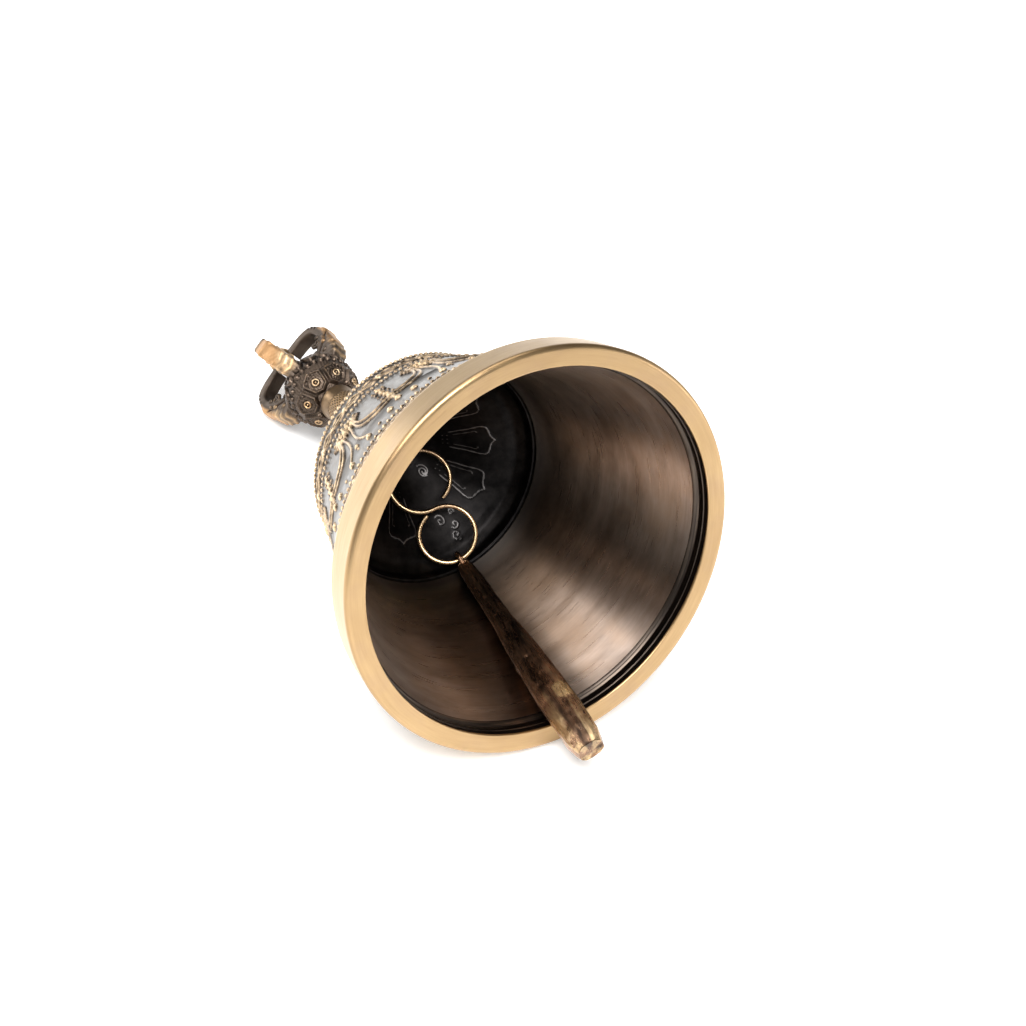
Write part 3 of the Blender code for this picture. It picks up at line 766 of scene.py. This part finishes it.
def ball_points(centre, radii, rows, columns):
    """A closed little boss as (points, faces) with its own numbering."""
    lat = np.linspace(-pi / 2, pi / 2, rows + 2)[1:-1][:, None]
    lon = around(columns)[None, :]
    grid = np.stack((np.cos(lat) * np.cos(lon) * radii[0], np.cos(lat) * np.sin(lon) * radii[1],
                     np.sin(lat) * radii[2] + 0 * lon), -1).reshape(-1, 3)
    poles = np.array([[0, 0, -radii[2]], [0, 0, radii[2]]])
    return np.vstack((grid, poles)) + np.asarray(centre), capped_faces(rows, columns)


def tube_points(path, radii, sides, start_up=(0, 0, 1)):
    """A closed round tube along a path of 3-D points, radii given per point."""
    path = np.asarray(path, float)
    radii = np.broadcast_to(radii, len(path)).astype(float)
    up = np.asarray(start_up, float)
    rings = []
    for point, direction, radius in zip(path, headings(path), radii):
        up = up - direction * up.dot(direction)
        up /= np.linalg.norm(up)
        side = np.cross(direction, up)
        turn = around(sides)[:, None]
        rings.append(point + radius * (np.cos(turn) * up + np.sin(turn) * side))
    count = len(path) * sides
    points = np.vstack(rings + [path[:1], path[-1:]])
    faces = [grid_faces(len(path), sides), cap_fan(np.arange(sides), count, flip=True),
             cap_fan(np.arange(sides) + (len(path) - 1) * sides, count + 1)]
    return points, faces


def gather(solids):
    """Puts several (points, faces) together."""
    points, quads, fans, start = [], [], [], 0
    for solid_points, faces in solids:
        points.append(solid_points)
        for group in faces:
            (quads if group.shape[1] == 4 else fans).append(group + start)
        start += len(solid_points)
    return np.vstack(points), [np.vstack(quads), np.vstack(fans)]


OUTER_EDGE = [(6.4, 88.0), (8.7, 89.7), (9.9, 92.4), (10.4, 95.6), (10.3, 98.6), (9.7, 101.0), (8.7, 102.6),
              (6.2, 103.7), (2.3, 104.1)]
INNER_EDGE = [(5.2, 89.6), (5.6, 91.4), (5.3, 93.4), (6.2, 95.2), (7.8, 97.2), (8.1, 99.3), (7.5, 100.9),
              (5.6, 101.9), (2.3, 102.3)]


def prong_points():
    """One prong in the plane of (r, z), x outwards: a makara's head at the foot, its tongue the arm."""
    outer = smooth_curve(OUTER_EDGE, 0.10)
    inner = smooth_curve(INNER_EDGE, 0.10)
    count = 110
    s = np.linspace(0, 1, count)

    def at(curve):
        walked = np.concatenate([[0], np.cumsum(np.linalg.norm(np.diff(curve, axis=0), axis=1))])
        return np.stack([np.interp(s * walked[-1], walked, curve[:, i]) for i in (0, 1)], -1)

    outer, inner = at(outer), at(inner)
    middle, half = (outer + inner) / 2, (outer - inner) / 2
    depth = np.linalg.norm(half, axis=1)
    direction = half / depth[:, None]
    width = np.interp(s, [0, 0.1, 0.3, 0.45, 0.55, 0.75, 1.0], [1.6, 1.9, 1.95, 1.8, 1.68, 1.62, 1.55])
    sides = 72
    turn = around(sides)
    flat = 0.62
    c, d = np.cos(turn), np.sin(turn)
    square = (np.abs(c) ** (2 / flat * 1.9) + np.abs(d) ** (2 / flat * 1.9)) ** (-flat / 3.8)
    outwards, across = c * square, d * square
    on_back = np.clip(outwards, 0, 1)[None, :] ** 0.6
    along_s = s[:, None]
    height = np.zeros((count, sides))
    for at_s in (0.60, 0.645, 0.69):
        height -= 0.26 * np.exp(-(((along_s - at_s) / 0.0085) ** 2)) * on_back
    for at_s, tall in ((0.08, 0.16), (0.15, 0.18), (0.22, 0.16)):
        height += tall * np.exp(-(((along_s - at_s - 0.03 * np.abs(across)[None, :]) / 0.014) ** 2)) * on_back
    snout = np.exp(-(((along_s - 0.47) / 0.05) ** 2))
    height += 0.42 * snout * np.clip(outwards, 0, 1)[None, :] ** 2
    flank = np.exp(-(((np.abs(across) - 1.0) / 0.35) ** 2))[None, :]
    line = 0.30 + 0.05 * outwards[None, :]
    height -= 0.30 * np.exp(-(((along_s - line - 0.08 * outwards[None, :]) / 0.012) ** 2)) * flank
    scales = np.sin(along_s * 150) * np.sin(across * 9)[None, :]
    height += 0.04 * scales * np.clip(1 - np.abs(along_s - 0.26) / 0.2, 0, 1)
    r = middle[:, 0][:, None] + direction[:, 0][:, None] * (depth[:, None] * outwards + height * c)
    z = middle[:, 1][:, None] + direction[:, 1][:, None] * (depth[:, None] * outwards + height * c)
    y = width[:, None] * across + height * d
    body = np.stack((r, y, z), -1).reshape(-1, 3)
    ends = np.array([[middle[0, 0], 0, middle[0, 1]], [middle[-1, 0], 0, middle[-1, 1]]])
    worn = on_back * np.clip(1.3 - np.abs(along_s - 0.38) / 0.36, 0, 1) + 2.2 * height
    shoulder = on_back * np.exp(-(((along_s - 0.70) / 0.07) ** 2))
    worn = np.clip(np.maximum(worn, 0.75 * shoulder), 0, 1.2)
    solids = [(np.vstack((body, ends)), capped_faces(count, sides))]
    marks = [with_ends(worn)]
    knobs = [  # centre, radii, how worn: eyes, brows, ears, inner curls, tusks
        ((8.3, 1.85, 94.4), (0.55, 0.35, 0.55), 0.9), ((8.9, 1.75, 95.5), (0.42, 0.34, 0.85), 0.7),
        ((7.1, 1.8, 92.3), (0.75, 0.4, 0.5), 0.5), ((5.3, 0.8, 95.1), (0.8, 0.6, 0.62), 0.25),
        ((6.3, 0.9, 97.3), (0.72, 0.6, 0.6), 0.2), ((8.0, 1.7, 97.2), (0.6, 0.34, 0.42), 0.5),
        ((5.0, 0.7, 93.1), (0.7, 0.55, 0.5), 0.2),
    ]
    for (x, side, up), radii, shine in knobs:
        for sign in (1, -1):
            solids.append(ball_points((x, sign * side, up), radii, 10, 16))
            marks.append(np.full(len(solids[-1][0]), shine))
    for sign in (1, -1):  # a scroll on each flank, the makara's curled lip
        path = [(x, sign * 1.72, z) for x, z in spiral(7.0, 95.9, 1.0, 1.35, 2.6, 30)]
        solids.append(tube_points(path, np.linspace(0.34, 0.2, 30), 10, (0, 1, 0)))
        marks.append(np.full(len(solids[-1][0]), 0.55))
    points, faces = gather(solids)
    crevice = np.zeros(len(points))
    crevice[:height.size] = np.clip(-height * 3.2, 0, 1).ravel()
    return points, faces, np.concatenate(marks), crevice


prong, prong_faces, prong_worn, prong_crevice = prong_points()
PRONG_WEAR_AND_HIGHLIGHT = (("prong_lower_right", 0.65), ("prong_lower_left", 0.75), ("prong_upper_left", 1.05),
               ("prong_upper_right", 0.7))  # worn gold per prong, partly real wear and partly painted highlight: the brightest is the prong that faces the light
for number, (name, shine) in enumerate(PRONG_WEAR_AND_HIGHLIGHT):
    turn = Matrix.Rotation(pi / 4 + number * pi / 2, 4, "Z")
    new_piece("makara_" + name, prong, prong_faces, (name,), [PRONG], prong_worn * shine,
              prong_crevice, place=BELL @ turn)


def centre_prong_piece():
    """Middle prong: a petalled foot, a slim stem, a bead and a blunt four-sided point."""
    outline = smooth_curve([(2.9, 93.1), (2.7, 94.0), (1.75, 95.6), (1.45, 97.4), (1.8, 99.0), (1.75, 100.6),
                            (1.95, 102.6), (1.9, 104.4), (2.7, 105.2), (2.75, 105.9), (2.3, 106.8),
                            (1.65, 107.45)], 0.2)
    angles = around(96)
    r, z = (part[:, None] for part in outline.T)
    facet = 1 - 0.07 * np.clip(z - 104.8, 0, 1) * np.abs(np.sin(2 * angles))[None, :]
    petals = 0.3 * np.exp(-(((z - 93.9) / 0.7) ** 2)) * np.abs(np.cos(4 * angles))[None, :]
    ring = 0.35 * np.exp(-(((z - 99.6) / 0.3) ** 2))
    points = turned_points(r * facet + petals + ring, z, angles).reshape(-1, 3)
    ends = [[0.0, 0.0, 93.1], [0.0, 0.0, 107.5]]
    worn = 0.35 + petals + ring + 0.3 * np.clip(z - 104.5, 0, 1)
    new_piece("centre_prong_tip", np.vstack((points, ends)), capped_faces(*worn.shape), ("centre_prong",),
              [TIP], with_ends(worn, (0, 0.9)), with_ends(np.zeros_like(worn)))


centre_prong_piece()

# ---------------------------------------------------------------- hook, eye and clapper

EYE_Z, EYE_RING, EYE_WIRE = 51.7, 2.2, 0.7
HOOK_WIRE = 0.45
UPPER, LOWER = 5.9, 5.4


def ring_points(radius, wire, centre, rough):
    """A closed ring in the plane across x, with its own slight unevenness."""
    steps, sides = 56, 20
    major, minor = around(steps)[:, None], around(sides)[None, :]
    grain = 1 + rough * (np.sin(3 * major + 1.0) + 0.6 * np.sin(7 * major + 2 * minor))
    far = radius + wire * grain * np.cos(minor)
    points = np.stack((wire * grain * np.sin(minor) + 0 * major, far * np.cos(major), far * np.sin(major)), -1)
    faces = grid_faces(steps, sides, close_rows=True)
    return points.reshape(-1, 3) + np.asarray(centre), [faces, np.zeros((0, 3), int)]


def eye_piece():
    ring = ring_points(EYE_RING, EYE_WIRE, (0, 0, EYE_Z), 0.04)
    z = np.linspace(EYE_Z + EYE_RING - 0.2, 66.1, 40)
    radii = np.interp(z, [53.7, 54.5, 55.2, 56.0, 66.1], [1.0, 1.35, 1.6, 1.6, 1.6])
    tang = tube_points(np.stack((0 * z, 0 * z, z), -1), radii, 32, (1, 0, 0))
    points, faces = gather([ring, tang])
    count = len(points)
    new_piece("eye_ring_and_tang", points, faces, ("crown_eye",), [IRON], np.full(count, 0.15),
              np.zeros(count))


eye_piece()


def hook_piece():
    """The S of wire, its two ends turned in a little and cut blunt."""
    a = np.linspace(2 * pi - radians(27), 0, 120)
    curl = 1 - 0.10 * np.clip(1 - (a[0] - a) / radians(60), 0, 1) ** 1.5
    upper = np.stack((UPPER + UPPER * curl * np.cos(a), UPPER * curl * np.sin(a)), -1)
    b = np.linspace(-pi, pi - radians(19), 120)
    tuck = 1 - 0.05 * np.clip(1 - (b[-1] - b) / radians(50), 0, 1)
    lower = np.stack((2 * UPPER + LOWER + LOWER * tuck * np.cos(b), LOWER * tuck * np.sin(b)), -1)
    run = np.vstack((upper, lower[1:]))
    path = np.column_stack((run, 0.12 * np.sin(np.linspace(-1, 1, len(run)) * 2.2)))
    radii = np.full(len(run), HOOK_WIRE)
    radii[[0, -1]] *= 0.7
    points, faces = tube_points(path, radii, 18)
    new_piece("hook_wire", points, faces, ("s_hook",), [BRASS], place=HOOK, body="hook")


hook_piece()

CLAPPER_SECTIONS = (  # distance from the eye, width, thickness, squareness
    (1.3, 2.3, 1.7, 0.3), (2.6, 3.0, 2.3, 0.3), (5.0, 3.5, 2.9, 0.35), (12.0, 3.7, 3.3, 0.5), (18.0, 4.0, 3.7, 0.6),
    (23.0, 5.0, 4.3, 0.7), (28.0, 5.7, 4.8, 0.75), (37.0, 6.6, 5.6, 0.8), (44.5, 6.7, 5.8, 0.8),
    (50.0, 6.4, 5.5, 0.8), (52.4, 5.7, 4.8, 0.7), (53.5, 4.6, 3.9, 0.6),
)
CLAPPER_SEAT = 0.25
PATCH_SIDE = radians(250)


def clapper_piece():
    """Hand-filed cast bar: eight uneven facets, a pitted skin and edges worn bright towards the striking end."""
    table = np.array(CLAPPER_SECTIONS)
    rows, sides = 240, 80
    z = np.linspace(table[0, 0], table[-1, 0], rows)
    soft = np.stack([np.interp(z, table[:, 0], table[:, i]) for i in (1, 2, 3)], -1)
    kernel = np.exp(-(np.arange(-12, 13) / 5.0) ** 2)
    kernel /= kernel.sum()
    wide, thick, squareness = (np.convolve(np.pad(column, 12, "edge"), kernel, "valid")[:, None] for column in soft.T)
    turn = around(sides)[None, :]
    twist = 0.12 * np.sin(z * 0.11)[:, None]
    c, d = np.cos(turn + twist), np.sin(turn + twist)
    # an octagon with four long and four short sides
    flats = np.maximum(np.abs(c), np.abs(d))
    chamfer = (np.abs(c) + np.abs(d)) / 1.58
    octagon = 1 / np.maximum(flats, chamfer)
    round_off = squareness * octagon + (1 - squareness)
    waves = 0.45 * (0.055 * np.sin(z[:, None] * 0.9 + 2 * turn) + 0.05 * np.sin(z[:, None] * 1.7 - 3 * turn + 1.3)
                     + 0.04 * np.sin(z[:, None] * 0.47 + turn * 5 + 0.5))
    pits = np.zeros((rows, sides))
    for _ in range(150):
        at, side = rng.uniform(z[0], z[-1]), rng.uniform(0, 2 * pi)
        long, across = rng.uniform(0.35, 1.5), rng.uniform(0.10, 0.30)
        swing = (turn - side + pi) % (2 * pi) - pi
        pits += rng.uniform(-0.16, 0.09) * np.exp(-(((z[:, None] - at) / long) ** 2) - (swing / across) ** 2)
    skin = waves + np.clip(pits, -0.22, 0.14)
    x = wide / 2 * round_off * c + skin * c
    y = thick / 2 * round_off * d + skin * d
    points = np.stack((x, y, np.broadcast_to(z[:, None] + CLAPPER_SEAT, x.shape)), -1).reshape(-1, 3)
    ends = [[0.0, 0.0, z[0] + CLAPPER_SEAT], [0.0, 0.0, z[-1] + CLAPPER_SEAT + 0.25]]
    corner = np.clip((octagon - 1.0) / 0.09, 0, 1)
    towards_end = np.clip((z[:, None] - 33) / 14, 0, 1)
    patch = np.exp(-(((z[:, None] - 40.5) / 1.7) ** 4)) * np.exp(-(((turn - PATCH_SIDE) / 0.42) ** 4))
    worn = 0.46 * corner * (0.45 + 0.65 * towards_end) + 1.3 * patch + 0.05 * (z[:, None] > 52.3) + 0.6 * skin
    eye = ring_points(1.4, 0.5, (0, 0, CLAPPER_SEAT), 0.06)
    points, faces = gather([(np.vstack((points, ends)), capped_faces(rows, sides)), eye])
    worn = np.concatenate((with_ends(np.clip(worn, 0, 1.2), (0, 0.35)), np.full(len(eye[0]), 0.1)))
    new_piece("clapper_bar", points, faces, ("clapper",), [COPPER], worn, place=CLAPPER,
              body="clapper")


clapper_piece()

# ---------------------------------------------------------------- floor, light and camera


def white_floor():
    mesh = bpy.data.meshes.new("floor")
    reach = 6.0
    corners = [(-reach, -reach, 0), (reach, -reach, 0), (reach, reach, 0), (-reach, reach, 0)]
    mesh.from_pydata(corners, [], [(0, 1, 2, 3)])
    floor = add_object("floor", mesh)
    paper = bpy.data.materials.new("white_paper")
    paper.use_nodes = True
    shader = paper.node_tree.nodes["Principled BSDF"]
    shader.inputs["Base Color"].default_value = (0.93, 0.93, 0.93, 1)
    shader.inputs["Roughness"].default_value = 0.9
    shader.inputs["Specular IOR Level"].default_value = 0.1
    shader.inputs["Emission Color"].default_value = (1, 1, 1, 1)
    shader.inputs["Emission Strength"].default_value = 0.28
    mesh.materials.append(paper)


white_floor()


def area_light(name, place, towards, size, power, colour=(1, 1, 1), size_y=None):
    lamp = bpy.data.lights.new(name, "AREA")
    lamp.shape = "RECTANGLE"
    lamp.size, lamp.size_y = size, size_y or size
    lamp.energy = power
    lamp.color = colour
    made = add_object(name, lamp)
    made.location = place
    made.rotation_euler = (Vector(towards) - Vector(place)).to_track_quat("-Z", "Y").to_euler()
    return made


def softbox_round_bell(name, turn, forward, distance, width, length, power, colour=(1, 1, 1)):
    """A softbox whose long side runs with the bell's axis, turned about that axis and set in front of the mouth."""
    axis = BELL.to_3x3() @ Vector((0, 0, 1))
    out = BELL.to_3x3() @ Vector((sin(radians(turn)), cos(radians(turn)), 0))
    away = (out - axis * forward).normalized()
    made = area_light(name, mouth_centre + away * distance, mouth_centre, width, power, colour, length)
    made.matrix_world = placement(made.location, axis.cross(away), away)


softbox_round_bell("key_softbox", -160, 0.75, 0.9, 0.50, 0.75, 15.0)
softbox_round_bell("low_softbox", 82, 0.75, 0.9, 0.15, 0.40, 0.9)
area_light("top_softbox", (0.05, 0.45, 1.0), (0, 0, 0.03), 0.8, 4.5, size_y=0.6)
area_light("left_softbox", (-0.60, 0.20, 0.80), (0, 0, 0.03), 0.5, 2.2, size_y=0.4)
area_light("back_softbox", (-0.80, 1.30, 0.36), (0, 0, 0.05), 0.62, 4.6, size_y=0.46)

world = bpy.data.worlds.new("studio")
bpy.context.scene.world = world
world.use_nodes = True
backdrop = world.node_tree.nodes["Background"]
backdrop.inputs["Color"].default_value = (1.0, 0.99, 0.97, 1)
towards = world.node_tree.nodes.new("ShaderNodeTexCoord")
split = world.node_tree.nodes.new("ShaderNodeSeparateXYZ")
fade = world.node_tree.nodes.new("ShaderNodeMapRange")  # white paper up to a little over the horizon, a dim room above
for socket, value in zip(fade.inputs[1:5], (0.10, 0.34, 0.95, 0.20)):
    socket.default_value = value
world.node_tree.links.new(towards.outputs["Generated"], split.inputs[0])
world.node_tree.links.new(split.outputs[2], fade.inputs[0])
world.node_tree.links.new(fade.outputs[0], backdrop.inputs["Strength"])

CAMERA_PLACE = Vector((-0.19220, -0.30021, 0.32785))
CAMERA_AZIMUTH, CAMERA_DROP, CAMERA_ROLL = radians(-35.38), radians(41.08), radians(8.72)
CAMERA_LENS = 87.72  # on a 36 mm sensor
ahead = Vector((-sin(CAMERA_AZIMUTH) * cos(CAMERA_DROP), cos(CAMERA_AZIMUTH) * cos(CAMERA_DROP), -sin(CAMERA_DROP)))
level = Vector((cos(CAMERA_AZIMUTH), sin(CAMERA_AZIMUTH), 0))
upright = level.cross(ahead)
right = level * cos(CAMERA_ROLL) + upright * sin(CAMERA_ROLL)
camera = add_object("camera", bpy.data.cameras.new("camera"))
camera.matrix_world = (
    Matrix.Translation(CAMERA_PLACE) @ Matrix((right, right.cross(ahead), -ahead)).transposed().to_4x4()
)
camera.data.sensor_width = 36
camera.data.lens = CAMERA_LENS
camera.data.clip_start = 0.01
bpy.context.scene.camera = camera
bpy.context.scene.view_settings.view_transform = "Standard"
